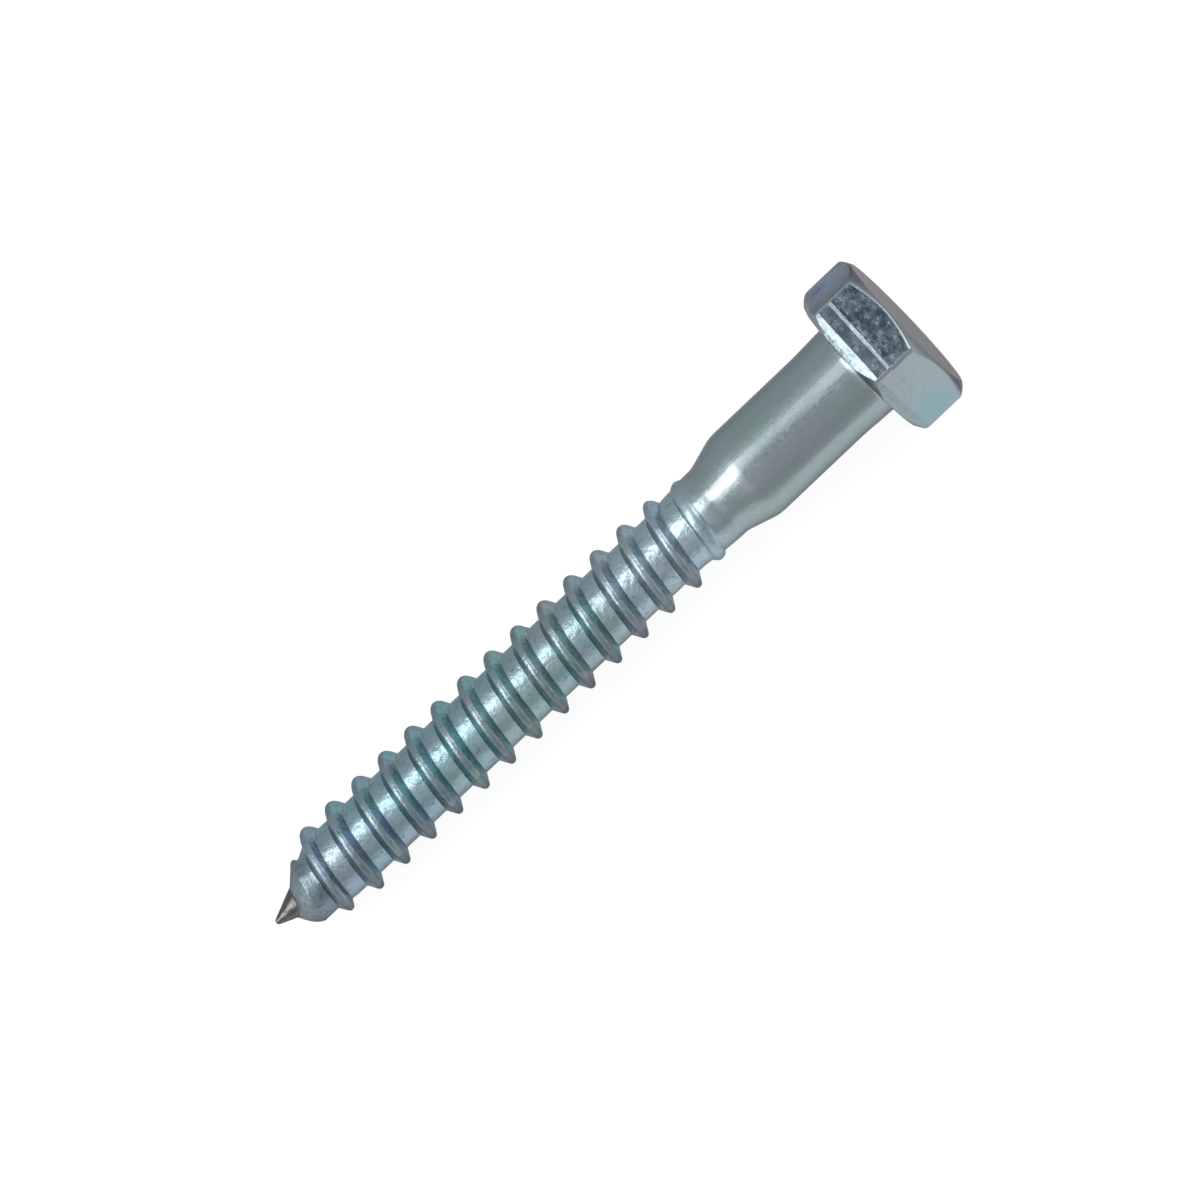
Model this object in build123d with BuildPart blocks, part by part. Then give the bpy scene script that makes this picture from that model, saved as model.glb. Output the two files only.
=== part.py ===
from build123d import *
from math import atan2, ceil, cos, radians, sin, tan
from numpy import interp
import os

# A hexagon head lag screw, 5/16 inch by 2-1/2 inch, forged and rolled in one piece.
# It is modelled on its own axis: z = 0 is the bearing face under the head, the head is
# below it, and z grows towards the tip. Then it is laid down as it would come to rest,
# on one flat of its head and on its thread near the point. All sizes are in millimetres.

# Head: a hexagon trimmed from an upset blank, and chamfered at both ends
across_flats = 12.6
head_height = 4.95
corner_rounding = 0.2
chamfer_angle = 30.0            # between a chamfer and the end face that it meets
chamfer_hollow = 12.0           # radius of the very flat hollow across a chamfer
top_circle_inset = 0.15         # from the flats in to the edge of the top face
bearing_circle_inset = 0.25     # from the flats in to the edge of the bearing face
rolled_edge_height = 0.55       # the trimming die rolled the flats over beside the
rolled_edge_depth = 0.18        # bearing face, and there they lean in
under_head_cone = 0.3           # both legs of the small cone where shank and head meet

# Shank and neck
shank_diameter = 8.0
shank_length = 12.3
taper_length = 2.45
neck_diameter = 6.4
neck_length = 1.0               # from the taper to where the ridge comes up
fade_in_length = 3.2            # here the ridge rises and the core narrows

# Thread
left_hand = True
pitch = 25.4 / 9
thread_diameter = 7.66
root_diameter = 5.8
flank_angle = 60.0              # between the two flanks of the ridge
crest_width = 0.38
last_crest_to_tip = 7.33        # to the tip from the last full crest on the lower side

# Point: the core narrows to a shoulder and a nib, a little to one side of the axis. The
# ridge sinks and grows wide, and its last half turn is a collar around the nib's start.
length = 62.2                   # from the bearing face to the tip
point_length = 6.0
shoulder_diameter = 4.85
shoulder_length = 1.5
nib_diameter = 2.5
nib_length = 2.5
nib_end_diameter = 0.42
nib_rounding = 0.2
point_off_centre = 0.18
fade_out_length = 2.3           # from the start of the point to where the ridge is low
low_ridge_height = 0.62         # above the core
low_crest_width = 0.9
collar_length = 1.65            # from the back of the collar to the start of the nib
ridge_end_length = 1.3          # from the start of the nib to the end of the ridge

os.makedirs("parts", exist_ok=True)

inradius = across_flats / 2
corner_radius = inradius / cos(radians(30))
shank_radius = shank_diameter / 2
neck_radius = neck_diameter / 2
root_radius = root_diameter / 2
crest_radius = thread_diameter / 2
shoulder_radius = shoulder_diameter / 2
nib_radius = nib_diameter / 2
taper_end = shank_length + taper_length
fade_in_start = taper_end + neck_length
fade_in_end = fade_in_start + fade_in_length
core_end = length - point_length
shoulder_end = core_end + shoulder_length
fade_out_end = core_end + fade_out_length
nib_start = length - nib_length
ridge_end = nib_start + ridge_end_length
last_crest = length - last_crest_to_tip

# The ridge's foot is sunk this far into the core, so that the two are one body
sunk = 0.25


# The radius of the core, and the height of the ridge above it, at a distance from the
# head. The ridge starts and ends just below the core's surface.
def core_at(z):
    distances = [fade_in_start, fade_in_end, core_end, shoulder_end, nib_start, length]
    radii = [neck_radius, root_radius, root_radius, shoulder_radius, nib_radius, 0]
    return interp(z, distances, radii)


def height_at(z):
    full_height = crest_radius - root_radius
    distances = [fade_in_start, fade_in_end, core_end, fade_out_end, nib_start, ridge_end]
    heights = [-sunk / 4, full_height, full_height, low_ridge_height, low_ridge_height, -sunk / 2]
    return interp(z, distances, heights)


# The ridge is a chain of straight pieces, lofted from one section of it to the next.
# In the full thread its flanks are straight from the crest down to the sunk foot.
steps_per_turn = 18
foot_width = crest_width + 2 * (crest_radius - root_radius + sunk) * tan(radians(flank_angle / 2))
hand = -1 if left_hand else 1
first_step = -ceil((last_crest - fade_in_start) / pitch * steps_per_turn)
last_step = ceil((ridge_end - last_crest) / pitch * steps_per_turn)
collar_start = nib_start - collar_length
with BuildPart() as ridge:
    for step in range(first_step, last_step + 1):
        z = last_crest + pitch * step / steps_per_turn
        angle = hand * radians(360 * step / steps_per_turn)
        aside = interp(z, [core_end, shoulder_end], [0, point_off_centre])
        section_plane = Plane(
            origin=(0, aside, z),
            x_dir=(cos(angle), sin(angle), 0),
            z_dir=(sin(angle), -cos(angle), 0),
        )
        height = height_at(z)
        width = interp(z, [core_end, fade_out_end], [crest_width, low_crest_width])
        back_foot = min(z - foot_width / 2, collar_start)
        back_crest = min(z - width / 2, collar_start + foot_width / 2)
        front_crest = z + width / 2
        front_foot = z + foot_width / 2
        with BuildSketch(section_plane):
            with BuildLine():
                Polyline(
                    (core_at(back_foot) - sunk, back_foot - z),
                    (core_at(back_crest) + height, back_crest - z),
                    (core_at(front_crest) + height, front_crest - z),
                    (core_at(front_foot) - sunk, front_foot - z),
                    close=True,
                )
            make_face()
    loft(ruled=True)

with BuildPart() as screw:
    # The hexagon, with its corners rounded and its lower edges rolled over
    with BuildSketch(Plane.XY.offset(-head_height)) as hexagon:
        RegularPolygon(inradius, side_count=6, major_radius=False, rotation=30)
        fillet(hexagon.vertices(), corner_rounding)
    extrude(amount=head_height)
    bearing_face = screw.faces().sort_by(Axis.Z)[-1]
    chamfer(bearing_face.edges(), rolled_edge_depth, rolled_edge_height, reference=bearing_face)

    # Both ends of the head are chamfered all round, and the chamfers are very slightly hollow
    top_circle_radius = inradius - top_circle_inset
    bearing_circle_radius = inradius - bearing_circle_inset
    slope = tan(radians(chamfer_angle))
    bearing_end = (bearing_circle_radius, 0)
    bearing_side = (corner_radius, (bearing_circle_radius - corner_radius) * slope)
    top_side = (corner_radius, (corner_radius - top_circle_radius) * slope - head_height)
    top_end = (top_circle_radius, -head_height)
    with BuildSketch(Plane.XZ):
        with BuildLine():
            RadiusArc(bearing_end, bearing_side, -chamfer_hollow)
            Line(bearing_side, top_side)
            RadiusArc(top_side, top_end, -chamfer_hollow)
            Polyline(top_end, (0, -head_height), (0, 0), bearing_end)
        make_face()
    revolve(mode=Mode.INTERSECT)

    # Shank, neck and the core of the thread, as one turned bar
    with BuildSketch(Plane.XZ):
        with BuildLine():
            Polyline(
                (0, -under_head_cone),
                (shank_radius + 2 * under_head_cone, -under_head_cone),
                (shank_radius, under_head_cone),
                (shank_radius, shank_length),
                (neck_radius, taper_end),
                (neck_radius, fade_in_start),
                (root_radius, fade_in_end),
                (root_radius, core_end),
                (0, core_end),
                close=True,
            )
        make_face()
    revolve()

    # The core leans to one side as it narrows to the shoulder
    with BuildSketch(Plane.XY.offset(core_end)):
        Circle(root_radius)
    with BuildSketch(Plane.XY.offset(shoulder_end)):
        with Locations((0, point_off_centre)):
            Circle(shoulder_radius)
    loft()

    # The rest of the point is round about an axis of its own
    with BuildSketch(Plane.XZ.offset(-point_off_centre)):
        with BuildLine():
            outline = FilletPolyline(
                (shoulder_radius, shoulder_end),
                (nib_radius, nib_start),
                (nib_end_diameter / 2, length),
                (0, length),
                radius=[0, nib_rounding],
            )
            Polyline(outline @ 1, (0, shoulder_end), outline @ 0)
        make_face()
    revolve(axis=Axis((0, point_off_centre, 0), (0, 0, 1)))
    add(ridge.part)

# Its axis leans down to the point, because the head is wider than the thread. The lower
# flat touches the table at its rolled edge, and so does the front of the last full crest.
# The origin is on the table, below the middle of the screw.
flat_contact = rolled_edge_height
thread_contact = last_crest + crest_width / 2
lean = atan2(inradius - crest_radius, flat_contact + thread_contact)
axis_height = inradius * cos(lean) - flat_contact * sin(lean)
head_reach = head_height * cos(lean) + top_circle_radius * sin(lean)
bearing_face_x = (length * cos(lean) - head_reach) / 2
lying = Plane(
    origin=(bearing_face_x, 0, axis_height),
    x_dir=(sin(lean), 0, -cos(lean)),
    z_dir=(-cos(lean), 0, -sin(lean)),
)
with BuildPart(lying) as lag_screw:
    add(screw.part)
lag_screw.part.label = "lag_screw"
export_step(lag_screw.part, "parts/lag_screw.step")
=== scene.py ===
# %% [markdown]
# # A bright zinc lag screw, lying on a pale table
#
# A lag screw is a big wood screw with a hexagon head for a wrench. It is one piece of
# steel, so the whole screw is one mesh here too: the thread is made by a screw motion,
# the shank and head are turned and then cut to a hexagon, and the parts are joined.
# The measured frame gives its place and its largest size.

import bmesh
import bpy
import numpy as np
from math import atan2, cos, degrees, pi, radians, sin, tan
from mathutils import Matrix, Vector


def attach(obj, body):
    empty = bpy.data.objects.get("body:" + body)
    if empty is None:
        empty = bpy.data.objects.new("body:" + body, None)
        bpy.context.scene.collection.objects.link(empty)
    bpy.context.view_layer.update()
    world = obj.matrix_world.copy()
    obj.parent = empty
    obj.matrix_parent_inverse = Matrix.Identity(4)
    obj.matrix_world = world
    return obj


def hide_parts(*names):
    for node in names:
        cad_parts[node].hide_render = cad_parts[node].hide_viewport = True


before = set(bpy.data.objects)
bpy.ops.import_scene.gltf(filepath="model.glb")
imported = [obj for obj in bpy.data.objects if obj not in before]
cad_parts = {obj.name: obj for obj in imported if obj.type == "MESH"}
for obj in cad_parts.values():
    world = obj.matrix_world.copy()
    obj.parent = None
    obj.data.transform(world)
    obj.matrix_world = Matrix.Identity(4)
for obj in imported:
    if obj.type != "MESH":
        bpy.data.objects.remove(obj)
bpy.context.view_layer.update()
print("nodes:", sorted(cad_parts))

# %% [markdown]
# ## The screw's own frame
#
# It is easiest to make a screw standing on its own axis, in millimetres: z is 0 at the
# bearing face under the head, the head is below it, and z grows towards the tip. At the
# end one matrix lays the screw down and turns millimetres into metres. The screw leans
# because its head is wider than its thread: it rests on one flat and on the last crest.

# %% Sizes, as radii and as distances from the bearing face
LENGTH = 62.2
HEAD_HEIGHT = 4.95
FLAT = 6.3
TOP_CIRCLE = FLAT - 0.15
SHANK = 4.0
NECK = 3.2
ROOT = 2.9
CREST = 3.83
PITCH = 25.4 / 9
LAST_CREST = LENGTH - 7.33
HEAD_CONTACT = 0.55
CREST_CONTACT = LAST_CREST + 0.19
MILLIMETRE = 0.001
print("head across flats:", 2 * FLAT, "mm, thread:", 2 * CREST, "mm, pitch:", round(PITCH, 3), "mm")


# %% The matrix that lays the screw down
def placed(origin, x_way, y_way, z_way):
    """The matrix that moves a thing to a place, and turns its three axes to three directions."""
    return Matrix.Translation(origin) @ Matrix((x_way, y_way, z_way)).transposed().to_4x4()


lean = atan2(FLAT - CREST, HEAD_CONTACT + CREST_CONTACT)
axis_height = FLAT * cos(lean) - HEAD_CONTACT * sin(lean)
head_reach = HEAD_HEIGHT * cos(lean) + TOP_CIRCLE * sin(lean)
bearing_x = (LENGTH * cos(lean) - head_reach) / 2
to_table = Vector((sin(lean), 0, -cos(lean)))
to_front = Vector((0, -1, 0))
to_tip = Vector((-cos(lean), 0, -sin(lean)))
bearing_face = (bearing_x * MILLIMETRE, 0, axis_height * MILLIMETRE)
lying = placed(bearing_face, to_table, to_front, to_tip) @ Matrix.Scale(MILLIMETRE, 4)
print("the screw leans by", round(degrees(lean), 3), "degrees")

# %% [markdown]
# ## The core and the ridge
#
# The thread is one ridge around a core. The core is 5.8 mm thick, and narrows to the nib
# at the point. The ridge is 1.5 mm wide at its foot, with flanks 30 degrees from upright
# and a fully rounded crest, as a rolled thread has. It rises out of the neck over about
# one and a half turns, and over the point it sinks and ends as a collar behind the nib.
#
# Such a shape could be lofted from drawn sections, but then each section has to be right
# by itself. Here a few functions say how far from the axis the surface is, at a distance
# from the head, and one regular mesh is moved to that distance.

# %% The core's radius along the screw
NIB_START = LENGTH - 2.5
NIB_ANGLE = radians(22.9)
NIB_ROUND = 0.29
THINNEST = 0.05
nib_edge_radius = NIB_ROUND * cos(NIB_ANGLE)
nib_edge = LENGTH - NIB_ROUND + NIB_ROUND * sin(NIB_ANGLE)
CORE_LINE = [
    (15.4, NECK), (15.9, 3.18), (16.8, 3.12), (17.95, 3.04), (19.0, ROOT), (56.0, ROOT),
    (56.6, 2.8), (57.2, 2.56), (57.73, 2.27), (58.3, 2.0), (58.9, 1.7), (59.4, 1.4), (NIB_START, 1.24),
]
ASIDE_LINE = [(56.2, 0), (57.7, 0.18)]


def read_line(line, place):
    """Reads a line of (place, value) pairs, which is straight from each pair to the next."""
    places, values = zip(*line)
    return np.interp(place, places, values)


def nib_at(z):
    return np.maximum(nib_edge_radius + (nib_edge - z) * tan(NIB_ANGLE), THINNEST)


def core_at(z):
    return np.where(z > NIB_START, nib_at(z), read_line(CORE_LINE, z))


def aside_at(z):
    """How far the point's own axis is to one side, as the dies rolled it."""
    return read_line(ASIDE_LINE, z)


print("core radius at 40 mm and at the nib:", float(core_at(40.0)), float(core_at(NIB_START)))

# %% The ridge's outline, as a drop from its crest
CREST_ROUND = 0.37
FLANK = radians(30)
round_reach = CREST_ROUND * cos(FLANK)


def drop_at(distance):
    round_part = CREST_ROUND - np.sqrt(CREST_ROUND**2 - np.minimum(distance, round_reach) ** 2)
    return round_part + np.maximum(distance - round_reach, 0) / tan(FLANK)


print("drop at 0.2 and at 0.6 mm from the crest:", round(drop_at(0.2), 3), round(drop_at(0.6), 3))

# %% The crest's radius where the ridge rises and where it sinks
RISE_LINE = [(15.2, 2.9), (15.75, 3.15), (16.42, 3.4), (17.6, 3.41), (18.3, 3.58), (19.0, 3.8), (19.6, CREST)]
SINK_LINE = [
    (55.3, CREST), (57.0, 3.42), (57.7, 3.05), (58.4, 2.76), (59.1, 2.6),
    (59.8, 2.52), (60.4, 2.2), (60.9, 1.3), (61.3, 0.4),
]


def crest_at(z, centre):
    """It rises with the distance from the head, and sinks with the middle of its own turn."""
    return np.minimum(read_line(RISE_LINE, z), read_line(SINK_LINE, centre))


print("crest radius at the start of the point:", float(crest_at(57.0, 57.0)))

# %% [markdown]
# ## The collar
#
# At the end of the thread the rolled metal folds over into a collar around the start of
# the nib. Its front is a straight wall where the collar starts, and swells to a round
# bulge towards the ridge's end. It could be sculpted, but as the ridge's last half turn
# it is one more outline, which slowly takes the place of the ridge's front flank.

# %% The front of the collar
MEETS_NIB_LINE = [(58.4, 59.68), (59.1, 59.72), (59.45, 60.1), (59.8, 60.47), (60.5, 60.6)]
WALL_LINE = [
    (-0.5, 0.2), (0, 1.13), (0.27, 1.38), (0.57, 1.66), (0.87, 1.95), (1.19, 2.26), (1.55, 2.66), (2.3, 2.95),
]
BULGE_LINE = [
    (-0.5, 0.2), (0, 1.15), (0.27, 1.62), (0.57, 2.0), (0.87, 2.26), (1.19, 2.45), (1.55, 2.65), (2.3, 2.95),
]
SWELL_LINE = [(58.5, 0), (59.5, 1)]


def front_at(z, centre):
    """The radius of the collar's front, read by the distance back from where it meets the nib."""
    back = read_line(MEETS_NIB_LINE, centre) - z
    wall = read_line(WALL_LINE, back)
    bulge = read_line(BULGE_LINE, back)
    return wall + (bulge - wall) * read_line(SWELL_LINE, centre)


print("collar radius 1 mm behind its front:", round(float(front_at(58.72, 59.1)), 3))

# %% The ridge with its collar
BACK_EDGE_LINE = [(57.0, 57.0), (57.7, 57.62), (58.4, 58.13), (58.75, 58.0), (59.1, 57.3), (59.8, 57.3)]
GENTLE_LINE = [(16.4, 0.5), (18.6, 1)]
COLLAR_LINE = [(57.2, 0), (58.2, 1)]
collar_widens = BACK_EDGE_LINE[0][0]


def surface_at(z, centre):
    """The distance from the axis, near a crest whose middle is at centre."""
    back_edge = np.where(centre < collar_widens, centre, read_line(BACK_EDGE_LINE, centre))
    gentle = read_line(GENTLE_LINE, centre)
    crest = crest_at(z, centre)
    behind = crest - drop_at(np.maximum(back_edge - z, 0) * gentle)
    ahead = crest - drop_at(np.maximum(z - centre, 0) * gentle)
    collar = read_line(COLLAR_LINE, centre)
    ahead = (1 - collar) * ahead + collar * np.minimum(front_at(z, centre), crest)
    return np.minimum(behind, ahead)


print("crest radius in the middle:", float(surface_at(np.array(40.0), np.array(40.0))))

# %% [markdown]
# ## The thread
#
# The dies roll the ridge up in one long turn after another. A Screw modifier could make
# that too, but it can't narrow towards a point. Here a line across one pitch of the
# thread, from one root to the next, is spun once around the axis while it moves on by one
# pitch. Copies of that turn stand one pitch apart and meet root to root, so merging the
# doubles closes the surface. Every row of points then runs along the ridge, which keeps
# the crest crisp. This screw is left-handed, so the spin goes round by a negative angle.


# %% Spin a line around the axis
def spin_line(points, steps, angle=2 * pi, climb=0.0):
    """A new bmesh: a line of points, each with a radius and a height, spun around the axis."""
    made = bmesh.new()
    corners = [made.verts.new((radius, 0, height)) for radius, height in points]
    edges = [made.edges.new(pair) for pair in zip(corners, corners[1:])]
    bmesh.ops.spin(
        made,
        geom=corners + edges,
        cent=(0, 0, 0),
        axis=(0, 0, 1),
        dvec=(0, 0, climb),
        angle=angle,
        steps=steps,
        use_merge=climb == 0,
    )
    return made


STEPS = 80
TURNS = 18
TURNS_TO_LAST_CREST = 15
first_crest = LAST_CREST - TURNS_TO_LAST_CREST * PITCH
one_side = [0.06, 0.12, 0.18, 0.24, 0.29, 0.34, 0.42, 0.5, 0.58, 0.64, 0.69, 0.73, 0.77, 0.82]
one_side += [0.9, 1.05, 1.22, PITCH / 2]
across_ridge = [-away for away in reversed(one_side)] + [0] + one_side
screw = spin_line([(CREST, first_crest + away) for away in across_ridge], STEPS, -2 * pi, PITCH / STEPS)
print("one turn:", len(screw.verts), "points")


# %% Stack the turns and merge them
def everything(mesh):
    return mesh.verts[:] + mesh.edges[:] + mesh.faces[:]


one_turn = everything(screw)
for number in range(1, TURNS):
    copy = bmesh.ops.duplicate(screw, geom=one_turn)["geom"]
    moved = [part for part in copy if isinstance(part, bmesh.types.BMVert)]
    bmesh.ops.translate(screw, verts=moved, vec=(0, 0, PITCH * number))
bmesh.ops.remove_doubles(screw, verts=screw.verts, dist=0.004)
print("thread:", len(screw.verts), "points,", len(screw.faces), "faces")

# %% [markdown]
# ## The thread's shape
#
# Each point now goes to its right distance from the axis. Its angle says where the middle
# of the nearest crest is, and the highest of three neighbouring crests counts. The root
# gets a small round where ridge and core meet, because no rolling die has sharp edges.
# Around the collar the points are smoothed a little, since metal folds over softly there.

# %% Move every point to the surface
places = np.array([point.co for point in screw.verts])
turn = np.arctan2(places[:, 1], places[:, 0]) / (2 * pi)
z = places[:, 2]
nearest = LAST_CREST - PITCH * turn
nearest = nearest + PITCH * np.round((z - nearest) / PITCH)
ridge = np.max([surface_at(z, nearest + PITCH * number) for number in (-1, 0, 1)], axis=0)
core = core_at(z)

ROOT_ROUND = 0.1
CLEAR_OF_ROOT = 3
apart = (ridge - core) / ROOT_ROUND
rounded = ROOT_ROUND * np.logaddexp(0, apart * 2) / 2
sunk = ROOT_ROUND * np.log(2) / 2 * np.exp(-np.abs(apart))
radii = np.where(apart > CLEAR_OF_ROOT, ridge, core + rounded - sunk)
for point, radius, part_turn, aside in zip(screw.verts, radii, turn, aside_at(z)):
    angle = 2 * pi * part_turn
    point.co = (radius * cos(angle), radius * sin(angle) + aside, point.co.z)
print("from the thinnest to the widest, in mm:", round(radii.min(), 3), round(radii.max(), 3))

# %% Smooth the collar
COLLAR_START = 57.0
COLLAR_END = 61.0
SMOOTHINGS = 3
soft = [point for point in screw.verts if COLLAR_START < point.co.z < COLLAR_END]
for times in range(SMOOTHINGS):
    bmesh.ops.smooth_vert(screw, verts=soft, factor=0.5, use_axis_x=True, use_axis_y=True)
print("smoothed around the collar:", len(soft), "points")

# %% [markdown]
# ## Shank and head
#
# The shank is the bare wire, and the head is upset from its end. A cylinder primitive and
# a few extrusions could give both, but a turned line takes all the small rounds at once:
# it runs from the neck over the taper, the shank and the round under the head, out along
# the bearing face, over the wide rim and in along the top. Both ends of the head are
# chamfered in that line, so cutting six flats gives the curved edges of a real head.

# %% Turn the shank and the head
NECK_JOIN = 15.35
neck_cut = NECK_JOIN - 0.25
RIM = 7.7
BEARING_CIRCLE = 6.42
top_slope = tan(radians(30))
bearing_slope = tan(radians(40))
BODY_LINE = [
    (NECK, neck_cut), (3.205, 14.9), (3.235, 14.7), (3.3, 14.45), (3.4, 14.12), (3.6, 13.45),
    (3.78, 12.86), (3.87, 12.55), (3.94, 12.27), (3.98, 11.95), (SHANK, 11.6), (SHANK, 9.0),
    (SHANK, 6.5), (SHANK, 4.0), (4.005, 3.4), (4.02, 2.8), (4.05, 2.2), (4.08, 1.6), (4.105, 1.0),
    (4.12, 0.55), (4.15, 0.3), (4.2, 0.15), (4.28, 0.05), (4.4, 0.0), (5.4, 0.0),
    (BEARING_CIRCLE, 0.0), (RIM, (BEARING_CIRCLE - RIM) * bearing_slope),
    (RIM, (RIM - TOP_CIRCLE) * top_slope - HEAD_HEIGHT), (TOP_CIRCLE, -HEAD_HEIGHT),
    (4.0, -HEAD_HEIGHT), (2.0, -HEAD_HEIGHT), (0, -HEAD_HEIGHT),
]
BODY_STEPS = 144
body = spin_line(BODY_LINE, BODY_STEPS)
bmesh.ops.remove_doubles(body, verts=body.verts, dist=0.001)
print("shank and head:", len(body.faces), "faces")

# %% [markdown]
# ## Flats
#
# On a real screw a die trims the hexagon from a round blank. A hexagon could be extruded
# instead, but then its chamfers would have straight edges. Here each flat is cut with a
# plane: what is outside goes, and the hole is filled with one face, which stays flat.

# %% Cut the flats
UNDER_BEARING = 0.01
ON_PLANE = 0.0005


def head_parts():
    """The head's faces with their edges and corners, so that a cut leaves the shank alone."""
    faces = [face for face in body.faces if max(corner.co.z for corner in face.verts) < UNDER_BEARING]
    edges = dict.fromkeys(edge for face in faces for edge in face.edges)
    corners = dict.fromkeys(corner for face in faces for corner in face.verts)
    return faces + list(edges) + list(corners)


def cut(mesh, geometry, place, normal, **sides):
    """Cuts parts of a mesh with a plane, and can clear one side of it away."""
    plane = {"plane_co": place, "plane_no": normal, "dist": ON_PLANE}
    return bmesh.ops.bisect_plane(mesh, geom=geometry, **plane, **sides)


for number in range(6):
    outward = Vector((cos(radians(60 * number)), sin(radians(60 * number)), 0))
    done = cut(body, head_parts(), FLAT * outward, outward, clear_outer=True)
    rim = [part for part in done["geom_cut"] if isinstance(part, bmesh.types.BMEdge)]
    bmesh.ops.holes_fill(body, edges=rim, sides=0)
print("after the flats:", len(body.faces), "faces")

# %% [markdown]
# ## Rounded edges
#
# Forging and plating leave no sharp edge on a head. A Bevel modifier would round every
# edge alike. The bearing side has its own rolled edge, so only two kinds are chosen and
# bevelled here: the six corners, and the curved edges between the flats and the top.

# %% Round the edges of the head
SHARP = radians(32)
HEAD_SIDE = 5.5
CORNER_RISE = 2
TOP_EDGES = -3.5
EDGE_ROUND = 0.17


def edges_to_round(upright):
    """The sharp edges between two flats, or those between a flat and the top chamfer."""
    found = []
    for edge in body.edges:
        one, other = (corner.co for corner in edge.verts)
        at_side = min(one.xy.length, other.xy.length) > HEAD_SIDE
        if at_side and len(edge.link_faces) == 2 and edge.calc_face_angle() > SHARP:
            is_corner = abs(one.z - other.z) > CORNER_RISE
            near_top = max(one.z, other.z) < TOP_EDGES
            if upright == is_corner and (upright or near_top):
                found.append(edge)
    return found


bmesh.ops.bevel(
    body,
    geom=edges_to_round(True) + edges_to_round(False),
    offset=EDGE_ROUND,
    offset_type="OFFSET",
    affect="EDGES",
    segments=4,
    profile=0.5,
    material=-1,
    clamp_overlap=False,
)
print("after rounding:", len(body.faces), "faces")

# %% [markdown]
# ## The marks of the trimming die
#
# The die rolls each flat over beside the bearing face, and leaves a fine step across the
# upper one. A bump could fake both, but they catch the light as faces of their own. So
# the flats are cut across at a few heights, and every height is drawn in a little.

# %% Shape the bands across the flats
STEP_LEVEL = -1.94
STEP_DEPTH = 0.0335
STEP_SIDE = -5.9
BAND_SIDE = 5.6
SAME_LEVEL = 0.001
BAND_LINE = [
    (-HEAD_HEIGHT, FLAT), (-2.22, FLAT), (STEP_LEVEL, FLAT), (-0.94, FLAT),
    (-0.40, 6.22), (-0.06, 6.06), (-0.02, 6.01), (0.0, 5.95),
]
levels = [level for level, distance in BAND_LINE]
for level in levels[1:-1]:
    cut(body, head_parts(), (0, 0, level), (0, 0, 1))
for point in body.verts:
    if point.co.z < UNDER_BEARING and point.co.xy.length > BAND_SIDE:
        point.co.xy *= float(read_line(BAND_LINE, point.co.z)) / FLAT
    if abs(point.co.z - STEP_LEVEL) < SAME_LEVEL and point.co.x < STEP_SIDE:
        point.co.x += STEP_DEPTH
print("after the bands:", len(body.faces), "faces")

# %% [markdown]
# ## Nib
#
# The nib is the bare, sharp end. The thread's mesh could run on to the tip, but its rows
# would crowd there. So the nib is turned by itself, about an axis a little to one side of
# the screw's, as the point was rolled there, and its end is round.

# %% Turn the nib
TIP_JOIN = 61.25
tip_cut = TIP_JOIN + 0.15
NIB_RING = 61.7
NIB_STEPS = 80
ARC_PARTS = 7
nib_line = [(nib_at(place), place) for place in (tip_cut, NIB_RING)]
for number in range(ARC_PARTS + 1):
    angle = NIB_ANGLE + (pi / 2 - NIB_ANGLE) * number / ARC_PARTS
    nib_line.append((max(NIB_ROUND * cos(angle), 0), LENGTH - NIB_ROUND + NIB_ROUND * sin(angle)))
nib = spin_line(nib_line, NIB_STEPS)
bmesh.ops.remove_doubles(nib, verts=nib.verts, dist=ON_PLANE)
bmesh.ops.translate(nib, verts=nib.verts, vec=(0, float(aside_at(LENGTH)), 0))
print("nib:", len(nib.faces), "faces")

# %% [markdown]
# ## One closed piece
#
# The real screw has no seams. Three pieces that reach into one another would look right
# from outside, but a closed mesh is safer to print and to bake. So the thread is cut off
# square at the neck and behind the tip, and each cut leaves a ring of edges, which is
# bridged to the ring of the turned part next to it.

# %% Cut the thread's ends and bridge the rings
RING_REACH = 0.4
cut(screw, everything(screw), (0, 0, NECK_JOIN), (0, 0, 1), clear_inner=True)
cut(screw, everything(screw), (0, 0, TIP_JOIN), (0, 0, 1), clear_outer=True)
for turned in (body, nib):
    carrier = bpy.data.meshes.new("part")
    turned.to_mesh(carrier)
    screw.from_mesh(carrier)
    turned.free()
    bpy.data.meshes.remove(carrier)
for level in (NECK_JOIN, TIP_JOIN):
    open_edges = [edge for edge in screw.edges if edge.is_boundary]
    rings = [edge for edge in open_edges if all(abs(end.co.z - level) < RING_REACH for end in edge.verts)]
    bmesh.ops.bridge_loops(screw, edges=rings)
bmesh.ops.recalc_face_normals(screw, faces=screw.faces)
loose = [edge for edge in screw.edges if not edge.is_manifold]
print("edges that aren't shared by two faces:", len(loose))

# %% [markdown]
# ## Flat and round faces
#
# Turned and rolled faces shade smoothly, and the flats and their bands don't, because a
# die left them plain. Blender's shading by angle alone would bend the light on the flats
# near their roundings, so the flats' own faces are found here and keep a shading of their
# own. Edges that turn by more than 28 degrees stay crisp.

# %% Find the flats and shade the mesh
FLATS_FROM = 5.4
BAND_ZONE = -1
SAME_WAY = 1.5
FLAT_LEAN = 0.2
BAND_LEAN = 0.45
CRISP = radians(28)


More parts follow.
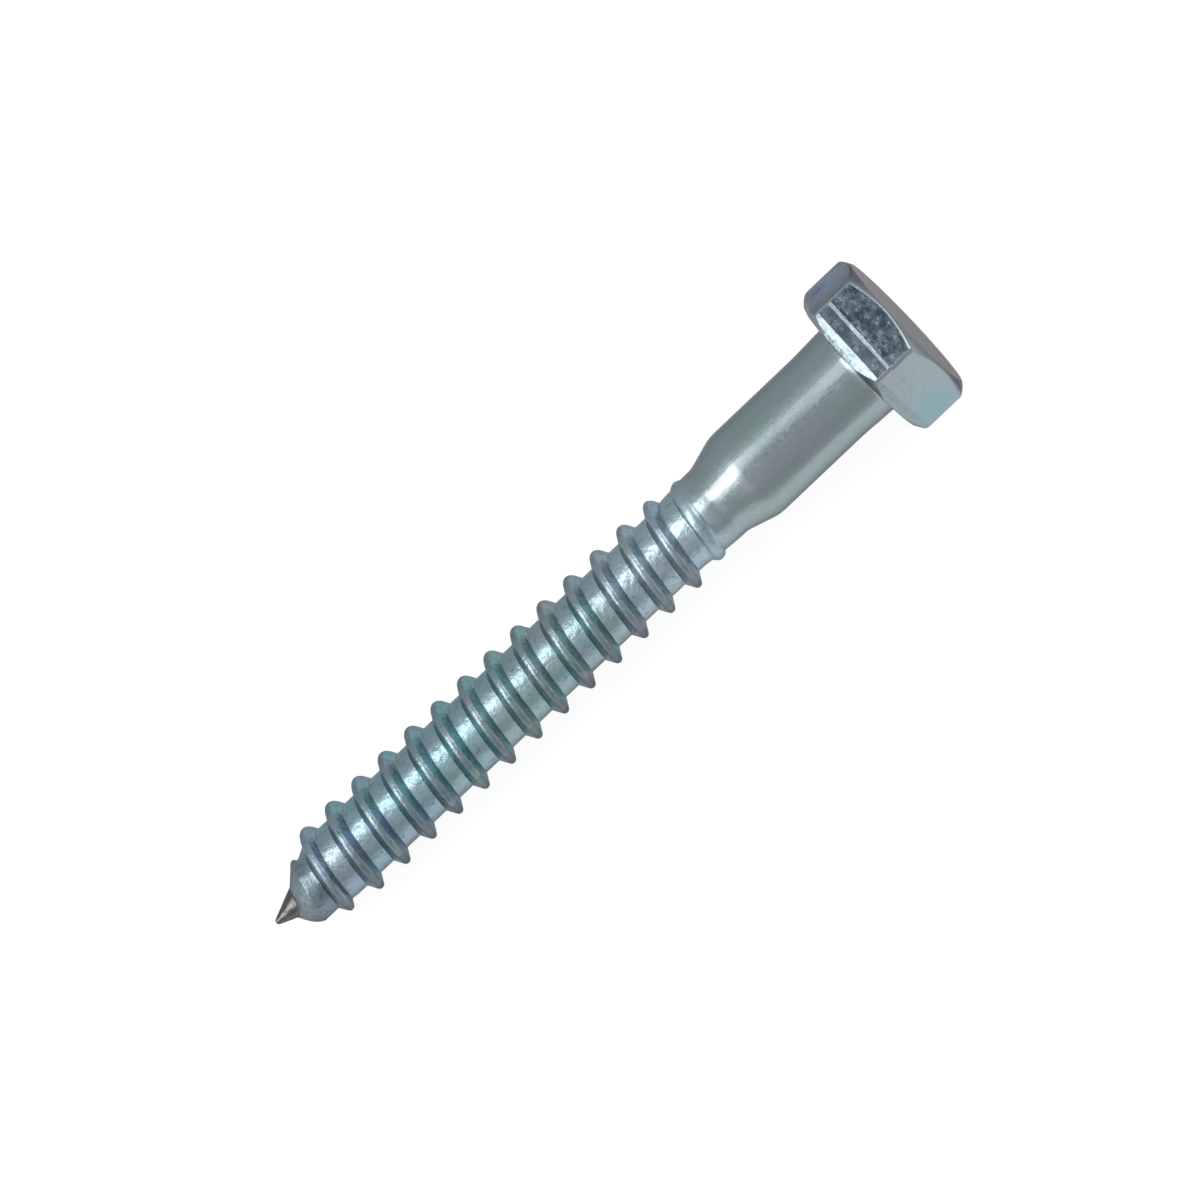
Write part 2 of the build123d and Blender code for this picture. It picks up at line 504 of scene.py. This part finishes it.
def on_flat(face):
    """Tells a flat's own bands from the roundings beside them."""
    middle = face.calc_center_median()
    face_lean = abs(face.normal.z)
    most_lean = BAND_LEAN if middle.z > BAND_ZONE else FLAT_LEAN
    turned = (degrees(atan2(face.normal.y, face.normal.x)) + 30) % 60 - 30
    on_head = middle.z < -UNDER_BEARING and middle.xy.length > FLATS_FROM
    return on_head and face_lean < most_lean and abs(turned) < SAME_WAY


own = np.array([point.co for point in screw.verts])
flats = [on_flat(face) for face in screw.faces]
for face, flat in zip(screw.faces, flats):
    face.smooth = not flat
for edge in screw.edges:
    if len(edge.link_faces) == 2 and edge.calc_face_angle() > CRISP:
        edge.smooth = False
zinc_mesh = bpy.data.meshes.new("lag_screw_zinc")
screw.to_mesh(zinc_mesh)
screw.free()
print("flat faces:", sum(flats), "of", len(flats))

# %% [markdown]
# ## Notes for the finish
#
# The finish follows the making, and the nib is bare. The crests carry painted shade, and
# the first turns a painted highlight. An image could hold that, but here numbers on the mesh
# do. Each point keeps its place in the screw's own frame, in millimetres, and its height on
# the ridge, as attributes that the material reads.


# %% Keep the notes on the mesh
def note(name, domain, values):
    layer = zinc_mesh.attributes.new(name, "FLOAT", domain)
    layer.data.foreach_set("value", np.array(values, dtype=np.float32))


BARE_FROM = 59.35
BARE_FADE = 0.25
SKIN = 0.03
SKIN_FADE = 0.12
own_z = own[:, 2]
made = zinc_mesh.attributes.new("made", "FLOAT_VECTOR", "POINT")
made.data.foreach_set("vector", own.astype(np.float32).ravel())
out = np.hypot(own[:, 0], own[:, 1] - aside_at(own_z))
height = np.clip((out - core_at(own_z)) / (CREST - ROOT), 0, 1)
at_nib = np.clip(1 - (out - nib_at(own_z) - SKIN) / SKIN_FADE, 0, 1)
bare = np.clip((own_z - BARE_FROM) / BARE_FADE, 0, 1) * at_nib
note("trimmed", "FACE", flats)
note("rise", "POINT", np.where((own_z > NECK_JOIN) & (own_z < TIP_JOIN), height, 0))
note("bare", "POINT", bare)
print("points of bare metal:", int((bare > 0.5).sum()))

# %% Lay the screw down in the frame
zinc_mesh.transform(lying)
zinc_screw = bpy.data.objects.new("lag_screw_zinc", zinc_mesh)
bpy.context.scene.collection.objects.link(zinc_screw)
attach(zinc_screw, "root")
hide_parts("lag_screw")
print("triangles:", sum(len(face.vertices) - 2 for face in zinc_mesh.polygons))

# %% [markdown]
# ## Shader maths in plain expressions
#
# A material is a tree of nodes. The tree could be drawn by hand in the editor, but sums
# in it are hard to read. This class holds one output of a node, so that sums on it add
# Math nodes, and its method `node` adds any other node.


# %% The class for shader sums
class Wire:
    def __init__(self, socket):
        self.socket = socket
        self.tree = socket.id_data

    def sum(self, operation, first, second):
        return Wire.node(self.tree, "ShaderNodeMath", {"operation": operation}, {0: first, 1: second})

    def __add__(self, other):
        return self.sum("ADD", self, other)

    def __radd__(self, other):
        return self.sum("ADD", other, self)

    def __sub__(self, other):
        return self.sum("SUBTRACT", self, other)

    def __rsub__(self, other):
        return self.sum("SUBTRACT", other, self)

    def __mul__(self, other):
        return self.sum("MULTIPLY", self, other)

    def __rmul__(self, other):
        return self.sum("MULTIPLY", other, self)

    @staticmethod
    def node(tree, kind, settings=None, sockets=None, output=0):
        """Adds a node, with its settings first and then its sockets' values or links."""
        new = tree.nodes.new(kind)
        for name, value in (settings or {}).items():
            if name == "stops":
                Wire.set_stops(new.color_ramp, value)
            else:
                setattr(new, name, value)
        for name, value in (sockets or {}).items():
            if isinstance(value, Wire):
                tree.links.new(value.socket, new.inputs[name])
            else:
                new.inputs[name].default_value = value
        return Wire(new.outputs[output]) if new.outputs else None

    @staticmethod
    def set_stops(ramp, stops):
        while len(ramp.elements) < len(stops):
            ramp.elements.new(0.5)
        for element, (place, colour) in zip(ramp.elements, stops):
            element.position = place
            element.color = (*colour, 1)


# %% [markdown]
# ## Bright zinc with a clear blue-green coat
#
# The screw is plated with zinc, and then dipped in a bath that leaves a thin clear film.
# A layered glass shader could work the film's colours out, but it would not bake. So the
# material is a metal, whose colour is that of its reflections, and the film is painted
# into that colour: soft patches of blue-green, violet and paler grey, and many small pits.


# %% What the zinc reads from the mesh
def empty_material(name):
    new = bpy.data.materials.new(name)
    new.use_nodes = True
    new.node_tree.nodes.clear()
    return new


zinc = empty_material("bright_zinc")
zinc_tree = zinc.node_tree


def attribute(name, output):
    return Wire.node(zinc_tree, "ShaderNodeAttribute", {"attribute_name": name}, output=output)


own_place = attribute("made", "Vector")
ridge_height = attribute("rise", "Fac")
on_flats = attribute("trimmed", "Fac")
on_nib = attribute("bare", "Fac")


def own_coordinate(letter):
    return Wire.node(zinc_tree, "ShaderNodeSeparateXYZ", None, {0: own_place}, output=letter)


along_screw = own_coordinate("Z")
print("attributes on the mesh:", [layer.name for layer in zinc_mesh.attributes if layer.name[0] != "."])


# %% Noise, ramps and blends
def noise(scale, detail=3, rough=0.55, at=own_place):
    sockets = {"Vector": at, "Scale": scale, "Detail": detail, "Roughness": rough}
    return Wire.node(zinc_tree, "ShaderNodeTexNoise", {"noise_dimensions": "3D"}, sockets)


def ramp(value, low, high):
    """Goes smoothly from 0 where the value is low to 1 where it is high."""
    sockets = {"Value": value, "From Min": low, "From Max": high}
    return Wire.node(zinc_tree, "ShaderNodeMapRange", {"interpolation_type": "SMOOTHSTEP"}, sockets)


def blend(share, first, second):
    sockets = {"Factor": share, 6: first, 7: second}
    return Wire.node(zinc_tree, "ShaderNodeMix", {"data_type": "RGBA"}, sockets, output=2)


on_thread = ramp(along_screw, 14.6, 18.5)
on_point = ramp(along_screw, 55.5, 57.5)
on_flank = ridge_height * (1.0 - ridge_height) * 4.0
print("nodes so far:", len(zinc_tree.nodes))

# %% [markdown]
# ## The film's colours on the thread
#
# A thin film shows a colour for each thickness, as oil on water does. On the thread the
# bath stays in the roots, so the film changes along the screw and from patch to patch. A
# slow drift along the screw with a soft noise is read through a row of film colours. It
# is strongest half way up the flanks.

# %% Film on the thread
GREY = (0.315, 0.378, 0.395, 1)
ROOT_TINT = (0.31, 0.405, 0.44, 1)
FILM_COLOURS = [
    (0.02, (0.30, 0.32, 0.39)),
    (0.16, (0.21, 0.29, 0.46)),
    (0.3, (0.16, 0.38, 0.46)),
    (0.46, (0.17, 0.42, 0.44)),
    (0.58, (0.24, 0.45, 0.42)),
    (0.7, (0.32, 0.38, 0.38)),
    (0.84, (0.29, 0.34, 0.42)),
    (0.97, (0.25, 0.39, 0.48)),
]
FILM_AT_START = 0.94
THREAD_START = 18
FILM_DRIFT = 0.0215
FILM_PATCHES = 1.3
film = FILM_AT_START - (along_screw - THREAD_START) * FILM_DRIFT + (noise(0.3, 2) - 0.5) * FILM_PATCHES
film_colour = Wire.node(
    zinc_tree, "ShaderNodeValToRGB", {"stops": FILM_COLOURS}, {"Fac": film}, output="Color"
)
colour = blend(on_thread, GREY, ROOT_TINT)
colour = blend(on_thread * (0.25 + on_flank * 0.4), colour, film_colour)
print("film colours:", len(FILM_COLOURS))

# %% [markdown]
# ## Painted shade on the crests, and a paler start
#
# The crests are painted a darker grey, as painted shade for the dark outlines that they
# show. They are painted darker still on the side that lies in front, as painted shade where
# they would mirror the white table. The first turns after the neck are painted paler, as a
# painted highlight. Crests are often found with a pointiness node, but it depends on the
# mesh. The kept height on the ridge gives the crests exactly.

# %% Painted shade on the crests, and the paler first turns
CREST_SHADE_GREY = (0.17, 0.185, 0.195, 1)
PAINTED_PALE_START = (0.62, 0.74, 0.82, 1)
FRONT_CREST_SHADE_GREY = (0.105, 0.095, 0.105, 1)
# Painted shade: the crests are darker, for their dark outlines.
colour = blend(on_thread * ramp(ridge_height, 0.7, 1.0) * 0.45, colour, CREST_SHADE_GREY)
# Painted highlight: the first turns after the neck are paler.
colour = blend(on_thread * ramp(along_screw, 29, 22) * 0.2, colour, PAINTED_PALE_START)
# Painted shade: the crests' front side is darker, where they would mirror the white table.
front_crest_shade = on_thread * ramp(ridge_height, 0.55, 0.9) * ramp(own_coordinate("Y"), 1.8, 3.4)
colour = blend(front_crest_shade * 0.55, colour, FRONT_CREST_SHADE_GREY)
print("nodes after the thread's colours:", len(zinc_tree.nodes))

# %% [markdown]
# ## Drifts and stains
#
# Drops of the bath dry slowly in some places and leave stains there. Noise alone would
# put them anywhere. The wide drifts are noise, and each stain is a soft round patch about
# a place on the screw, with a ragged rim: four stains on the head's flats, one at its
# rolled edge, and three on the collar.

# %% Drifts over the whole screw
GREEN_DRIFT = (0.27, 0.38, 0.34, 1)
PALE_DRIFT = (0.35, 0.37, 0.41, 1)
TRIMMED = (0.305, 0.375, 0.41, 1)
drift = noise(0.42, 3)
colour = blend(ramp(drift, 0.52, 0.66) * 0.5, colour, GREEN_DRIFT)
colour = blend(ramp(drift, 0.44, 0.32) * 0.4, colour, PALE_DRIFT)
colour = blend(on_flats * 0.75, colour, TRIMMED)
print("nodes after the drifts:", len(zinc_tree.nodes))

# %% Stains, each with its middle, inner and outer radius, share and colour
STAINS = [
    ((-3.2, -5.5, -2.5), 1.5, 4.2, 0.75, (0.50, 0.51, 0.65, 1)),
    ((-1.9, -6.1, -1.5), 0.2, 1.5, 0.85, (0.19, 0.29, 0.50, 1)),
    ((-2.8, -5.8, -3.2), 0.2, 1.5, 0.75, (0.33, 0.52, 0.64, 1)),
    ((-0.9, 6.7, -2.5), 0.5, 2.9, 0.65, (0.23, 0.38, 0.42, 1)),
    ((-5.9, 3.9, -0.7), 0.2, 1.0, 0.5, (0.42, 0.35, 0.37, 1)),
    ((-0.9, -1.8, 58.5), 0.1, 0.8, 0.8, (0.05, 0.13, 0.15, 1)),
    ((-2.0, 0.5, 58.2), 0.2, 1.1, 0.7, (0.20, 0.24, 0.18, 1)),
    ((-1.9, 1.1, 57.3), 0.2, 1.2, 0.7, (0.09, 0.21, 0.17, 1)),
]
RAGGED = 1.2
for middle, inner, outer, share, tint in STAINS:
    sockets = {0: own_place, 1: middle}
    away = Wire.node(zinc_tree, "ShaderNodeVectorMath", {"operation": "DISTANCE"}, sockets, output="Value")
    inside = ramp(away + (noise(0.9, 2) - 0.5) * RAGGED, outer, inner)
    colour = blend(inside * share, colour, tint)
print("stains:", len(STAINS))

# %% [markdown]
# ## The upper flat, with painted shade
#
# The flat on top has the step of the die across it. It is painted darker than the other
# flats, as painted shade for the dark that it mirrors. It is mottled with painted dark and
# pale spots, as a painted reflection. The strip beside the bearing face is painted paler and
# bluer. Two noises of different size give the mottle, and both are left out of the step's
# own narrow face, which stays clean and bright.

# %% Painted shade on the upper flat and on the rolled bands
FLAT_SHADE_GREY = (0.20, 0.25, 0.285, 1)
STRIP_BLUE = (0.33, 0.38, 0.46, 1)
DARK_REFLECTION_MOTTLE = (0.05, 0.09, 0.12, 1)
PALE_REFLECTION_MOTTLE = (0.31, 0.34, 0.38, 1)
near_bearing = ramp(along_screw, -1.96, -1.92)
outside_step = ramp(along_screw, -2.21, -2.25) + near_bearing
shaded_upper_flat = on_flats * ramp(own_coordinate("X"), -6.0, -6.1) * ramp(along_screw, -0.9, -1.0) * outside_step
reflection_mottle = ramp(noise(1.2, 5, 0.62), 0.38, 0.6) * (0.85 - near_bearing * 0.2)
# Painted shade: the upper flat is darker, for the dark that it mirrors.
colour = blend(shaded_upper_flat, colour, FLAT_SHADE_GREY)
colour = blend(shaded_upper_flat * near_bearing, colour, STRIP_BLUE)
# Painted reflection: dark and pale mottle on the upper flat.
colour = blend(shaded_upper_flat * reflection_mottle, colour, DARK_REFLECTION_MOTTLE)
colour = blend(shaded_upper_flat * ramp(noise(2.8, 3), 0.52, 0.66) * 0.5, colour, PALE_REFLECTION_MOTTLE)
# Painted shade: the rolled bands by the bearing face are a little darker, which dulls their highlight.
colour = blend(on_flats * ramp(along_screw, -1.0, -0.9) * 0.3, colour, FLAT_SHADE_GREY)
print("nodes after the upper flat:", len(zinc_tree.nodes))

# %% [markdown]
# ## Ends, nib and soot
#
# The top of the head and its chamfer are a duller mauve. The point is darker, and the nib
# is bare steel. Dark smudges lie on everything, most of all on the thread and the point.
# They could be materials of their own, but then hard borders would part them. So each is
# one more blend over the colours so far, by a mask with soft borders.

# %% Colours of the ends
MAUVE = (0.16, 0.165, 0.182, 1)
POINT_GREY = (0.13, 0.16, 0.155, 1)
BARE = (0.135, 0.13, 0.12, 1)
SOOT = (0.12, 0.17, 0.19, 1)
head_end = ramp(along_screw, -4.1, -4.85) * (1 - on_flats)
soot = ramp(noise(2.2, 4), 0.56, 0.66)
colour = blend(head_end * 0.85, colour, MAUVE)
colour = blend(on_point * 0.45, colour, POINT_GREY)
colour = blend(on_nib, colour, BARE)
colour = blend(soot * (0.1 + on_thread * 0.3 + on_point * 0.3), colour, SOOT)
print("nodes after all colours:", len(zinc_tree.nodes))

# %% [markdown]
# ## Roughness and relief
#
# Plating has a fine grain and small pits. The flats are the smoothest, as the die left
# them, and the flanks of the ridge are the dullest. The shank has streaks along it from
# drawing the wire. Modelling all that would take millions of faces, so a bump gives it,
# a few hundredths of a millimetre deep.

# %% Grain, pits and streaks
STREAK_STRETCH = (2.6, 2.6, 0.22)
BUMP_DEPTH = 0.000018
grain = noise(3.0, 3)
specks = ramp(noise(4.5, 3), 0.62, 0.72)
sockets = {0: own_place, 1: STREAK_STRETCH}
stretched = Wire.node(zinc_tree, "ShaderNodeVectorMath", {"operation": "MULTIPLY"}, sockets, output="Vector")
streaks = noise(1.0, 2, at=stretched)

roughness = 0.28 + on_thread * (0.04 + on_flank * 0.09)
roughness += ((grain - 0.5) * (0.12 + on_thread * 0.13) + specks * 0.08) * (1 - on_flats)
roughness = roughness - on_flats * 0.08 - on_nib * 0.06

relief = (grain - 0.5) * (0.25 + on_thread * 1.75 + on_nib * 0.6 - on_flats * 0.3)
relief += (noise(1.4, 2) - 0.5) * on_thread * 3.0
relief -= specks * (0.3 + on_thread * 0.5) * (1 - on_flats)
relief += (streaks - 0.5) * (1 - on_thread) * (1 - on_flats) * 0.9
relief += (noise(1.3, 2) - 0.5) * on_flats * 1.5
bump_sockets = {"Strength": 1.0, "Distance": BUMP_DEPTH, "Height": relief}
bump = Wire.node(zinc_tree, "ShaderNodeBump", None, bump_sockets)
print("nodes with the relief:", len(zinc_tree.nodes))

# %% The finished zinc
EDGE_TINT = (0.38, 0.38, 0.4, 1)
zinc_sockets = {
    "Base Color": colour,
    "Metallic": 1.0,
    "Roughness": roughness,
    "Specular Tint": EDGE_TINT,
    "Normal": bump,
}
zinc_shader = Wire.node(zinc_tree, "ShaderNodeBsdfPrincipled", None, zinc_sockets)
Wire.node(zinc_tree, "ShaderNodeOutputMaterial", None, {"Surface": zinc_shader})
zinc_mesh.materials.append(zinc)
print("nodes in the zinc material:", len(zinc_tree.nodes))

# %% [markdown]
# ## Camera
#
# The camera looks down steeply from the front, from about twelve screw lengths away, and
# is rolled so that the screw points to the lower left. It could be set by hand with three
# angles, but then a change to the screw would need new ones. Here its axes are worked out
# from the screw's: how far the axis leans to the camera, how far round the screw the
# camera stands, and the slant of the axis in the picture. It looks at a place along the
# screw that lies a little to the right of the picture's middle, and a little above it.

# %% The camera's directions
TO_CAMERA = radians(6.5)
ROUND_FRONT = radians(16.4)
SLANT = radians(43.494)
facing = cos(ROUND_FRONT) * -to_table + sin(ROUND_FRONT) * to_front
toward = cos(TO_CAMERA) * facing - sin(TO_CAMERA) * to_tip
along = (-to_tip + to_tip.dot(toward) * toward).normalized()
across = toward.cross(along)
right = cos(SLANT) * along - sin(SLANT) * across
upward = sin(SLANT) * along + cos(SLANT) * across
print("camera looks down by", round(degrees(np.arcsin(toward.z)), 1), "degrees")

# %% Set the camera
VIEW_DISTANCE = 0.72
VIEW_WIDTH = 0.0919
SENSOR = 36
SEEN_PLACE = 23.96
SEEN_TO_RIGHT = 0.00252
SEEN_ABOVE = 0.001386
seen = lying @ Vector((0, 0, SEEN_PLACE))
target = seen - right * SEEN_TO_RIGHT - upward * SEEN_ABOVE
camera_data = bpy.data.cameras.new("camera")
camera_data.sensor_width = SENSOR
camera_data.lens = SENSOR * VIEW_DISTANCE / VIEW_WIDTH
camera_data.clip_start = 0.01
camera_data.clip_end = 20
camera = bpy.data.objects.new("camera", camera_data)
camera.matrix_world = placed(target + VIEW_DISTANCE * toward, right, upward, toward)
bpy.context.scene.collection.objects.link(camera)
bpy.context.scene.camera = camera
print("focal length in mm:", round(camera_data.lens, 1))

# %% [markdown]
# ## Table
#
# The table is a plain white sheet. A white paint alone would come out grey in this plain
# light, and more lamps would bleach the screw. So what the camera and the metal see of
# the table is mostly a white glow, mixed with a plain paint that keeps the soft shadow.

# %% The table's sheet
TABLE_HALF = 1.5
BELOW_SCREW = 0.00002
floor_mesh = bmesh.new()
bmesh.ops.create_grid(floor_mesh, x_segments=2, y_segments=2, size=TABLE_HALF)
sheet = bpy.data.meshes.new("table")
floor_mesh.to_mesh(sheet)
floor_mesh.free()
table = bpy.data.objects.new("table", sheet)
table.location.z = -BELOW_SCREW
bpy.context.scene.collection.objects.link(table)
print("table:", 2 * TABLE_HALF, "m wide")

# %% The table's white
paper = empty_material("white_table")
paper_tree = paper.node_tree


def ray_is(kind):
    return Wire.node(paper_tree, "ShaderNodeLightPath", output="Is " + kind + " Ray")


plain = Wire.node(paper_tree, "ShaderNodeBsdfDiffuse", None, {"Color": (0.8, 0.8, 0.8, 1)})
white = Wire.node(paper_tree, "ShaderNodeEmission", None, {"Color": (1, 1, 1, 1), "Strength": 1.08})
glow_share = ray_is("Camera") * 0.85 + (ray_is("Glossy") + ray_is("Transmission")) * 0.75
both = Wire.node(paper_tree, "ShaderNodeMixShader", None, {0: glow_share, 1: plain, 2: white})
Wire.node(paper_tree, "ShaderNodeOutputMaterial", None, {"Surface": both})
sheet.materials.append(paper)
print("nodes in the table's white:", len(paper_tree.nodes))

# %% [markdown]
# ## Room and lamps
#
# A metal looks like what stands around it, so its light is mostly a matter of places. The
# room is a plain grey. The key lamp is long and stands beside the screw towards its tip,
# and gives the long highlight. A weak fill behind the screw softens it, and a third lamp
# beyond the head lights the chamfers. Lamps are placed by angles around the screw, because
# those say where on it their highlight will be.

# %% The room
ROOM_GREY = (0.54, 0.55, 0.56, 1)
world = bpy.data.worlds.new("room")
world.use_nodes = True
background = world.node_tree.nodes["Background"]
background.inputs["Color"].default_value = ROOM_GREY
background.inputs["Strength"].default_value = 1.0
bpy.context.scene.world = world
print("room grey:", ROOM_GREY[:3])

# %% Directions around the screw
backward = facing.cross(-to_tip)


def directions(around, tilt):
    """So many degrees around the screw from the camera's side, and so many towards its tip:
    the directions across that place, along it, and away from the screw."""
    turned = radians(around)
    tilted = radians(tilt)
    away = cos(tilted) * (cos(turned) * facing - sin(turned) * backward) + sin(tilted) * to_tip
    aside = to_tip.cross(away).normalized()
    return aside, away.cross(aside), away


print("away from the screw, over it:", [round(part, 3) for part in directions(0, 0)[2]])

# %% The lamps
LAMP_DISTANCE = 0.6


def lamp(name, around, tilt, wide, long, brightness):
    """A flat lamp. Its place and size are in degrees, as the screw sees it."""
    aside, lengthways, away = directions(around, tilt)
    data = bpy.data.lights.new(name, "AREA")
    data.shape = "RECTANGLE"
    data.size = 2 * LAMP_DISTANCE * tan(radians(wide / 2))
    data.size_y = 2 * LAMP_DISTANCE * tan(radians(long / 2))
    data.energy = brightness * pi * data.size * data.size_y
    new = bpy.data.objects.new(name, data)
    new.matrix_world = placed(seen + LAMP_DISTANCE * away, aside, lengthways, away)
    bpy.context.scene.collection.objects.link(new)
    print("lamp", name, "is", round(data.size, 2), "m wide and", round(data.size_y, 2), "m long")


lamp("key", -28, 36, 34, 68, 3.2)
lamp("back fill", -55, 0, 70, 100, 0.5)
lamp("head end", -30, -48, 36, 44, 2.2)

# %% [markdown]
# ## Cards
#
# What stands around a shiny thing shapes its reflections. Lamps can only make them
# brighter, and more lamps would wash the thread out. So glowing cards are put up, which
# only reflections see. The dark card keeps the upper flat dark, and the glint card
# brightens the shank beside the head. The shank and shade cards hold the highlight back
# on the rest of the shank, and the thread card fills the near side of the thread. The
# grey card stands close behind the screw, and the front card before its shank.


# %% A card that only reflections see
def card(name, middle, half_across, half_up, grey):
    """A plain glowing card. Its place and half sizes are in metres."""
    grid = bmesh.new()
    bmesh.ops.create_grid(grid, x_segments=1, y_segments=1, size=1)
    data = bpy.data.meshes.new(name)
    grid.to_mesh(data)
    grid.free()
    data.transform(placed(middle, half_across, half_up, half_across.cross(half_up).normalized()))
    new = bpy.data.objects.new(name, data)
    bpy.context.scene.collection.objects.link(new)
    for kind in ("camera", "diffuse", "shadow", "transmission"):
        setattr(new, "visible_" + kind, False)
    paint = empty_material(name)
    glow = Wire.node(paint.node_tree, "ShaderNodeEmission", None, {"Color": (*grey, 1), "Strength": 1.0})
    Wire.node(paint.node_tree, "ShaderNodeOutputMaterial", None, {"Surface": glow})
    data.materials.append(paint)
    print("card", name, "glows with", grey)


# %% Cards over the screw
CARD_DISTANCE = 0.08


def near_card(name, around, place, half_wide, half_long, grey):
    """A card square to the screw, above a place along it in millimetres."""
    aside, lengthways, away = directions(around, 0)
    middle = lying @ Vector((0, 0, place)) + CARD_DISTANCE * away
    card(name, middle, aside * half_wide, lengthways * half_long, grey)


near_card("dark_card", -33, 0.3, 0.0165, 0.0073, (0.09, 0.10, 0.11))
near_card("glint_card", -31, 10.4, 0.0170, 0.0022, (3.6, 3.7, 3.8))
near_card("shank_card", -35.5, 18.5, 0.0165, 0.0063, (0.36, 0.37, 0.39))
near_card("shade_card", -12.5, 19.5, 0.0175, 0.0070, (0.08, 0.09, 0.10))
near_card("thread_card", 14, 48, 0.032, 0.02, (0.82, 0.84, 0.86))


# %% Cards that stand on the table
def standing_card(name, middle, half_wide, half_high, grey):
    card(name, Vector(middle), Vector((half_wide, 0, 0)), Vector((0, 0, half_high)), grey)


standing_card("grey_card", (0, 0.014, 0.02), 0.05, 0.0199, (0.55, 0.57, 0.59))
standing_card("front_card", (0.017, -0.05, 0.0155), 0.008, 0.0153, (0.50, 0.51, 0.53))

# %% [markdown]
# ## View
#
# Blender's usual view turns bright colours towards white, as film does, and a maker's
# colours would look paler. The standard view shows them as they are written.

# %% Set the view
bpy.context.scene.view_settings.view_transform = "Standard"
print("view:", bpy.context.scene.view_settings.view_transform)
